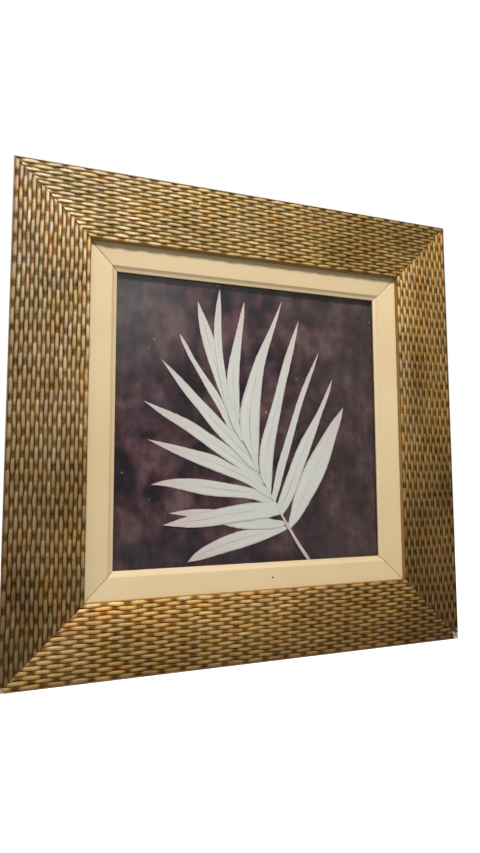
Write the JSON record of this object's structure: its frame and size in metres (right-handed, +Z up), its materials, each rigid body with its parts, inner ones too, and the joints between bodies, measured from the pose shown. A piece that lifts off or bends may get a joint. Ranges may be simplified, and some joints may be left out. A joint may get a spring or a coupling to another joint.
{
  "type": "framed pressed palm leaf",
  "caption": "Square wall frame with a woven-relief gilt moulding and a cream liner, holding a pressed pinnate palm leaf on a dark mottled board under glass.",
  "frame": {"origin": "the nail point: the middle notch of the toothed hanger on the back of the top rail, at mid thickness of its steel", "axes": "+X to the right along the wall as seen from the front, +Y into the wall, +Z up"},
  "size_m": [0.508, 0.0323, 0.508],
  "materials": {
    "gilt_moulding": "worn satin gilding over a moulded woven relief, dark brown in the hollows",
    "cream_liner": "satin cream paint",
    "clear_glass": "polished",
    "mottled_ground": "matt dark purple-brown mottle",
    "pressed_leaf": "matt bleached grey-white with pinkish tips",
    "dried_stalk": "matt pinkish grey",
    "hardboard": "matt brown hardboard",
    "zinc_steel": "dull zinc plating"
  },
  "bodies": {
    "root": {"moulding_top": "gilt_moulding", "moulding_right": "gilt_moulding", "moulding_bottom": "gilt_moulding", "moulding_left": "gilt_moulding", "liner_top": "cream_liner", "liner_right": "cream_liner", "liner_bottom": "cream_liner", "liner_left": "cream_liner", "glass": "clear_glass", "mount_board": "mottled_ground", "backing_board": "hardboard", "leaflet_left_1": "pressed_leaf", "leaflet_left_2": "pressed_leaf", "leaflet_left_3": "pressed_leaf", "leaflet_left_4": "pressed_leaf", "leaflet_left_5": "pressed_leaf", "leaflet_left_6": "pressed_leaf", "leaflet_left_7": "pressed_leaf", "leaflet_left_8": "pressed_leaf", "leaflet_end_left": "pressed_leaf", "leaflet_end_right": "pressed_leaf", "leaflet_right_6": "pressed_leaf", "leaflet_right_5": "pressed_leaf", "leaflet_right_4": "pressed_leaf", "leaflet_right_3": "pressed_leaf", "leaflet_right_2": "pressed_leaf", "leaflet_right_1": "pressed_leaf", "stem": "dried_stalk", "glazier_point_top_1": "zinc_steel", "glazier_point_top_2": "zinc_steel", "glazier_point_right_1": "zinc_steel", "glazier_point_right_2": "zinc_steel", "glazier_point_bottom_1": "zinc_steel", "glazier_point_bottom_2": "zinc_steel", "glazier_point_left_1": "zinc_steel", "glazier_point_left_2": "zinc_steel", "hanger": "zinc_steel", "nail_1": "zinc_steel", "nail_2": "zinc_steel"}
  },
  "joints": []
}
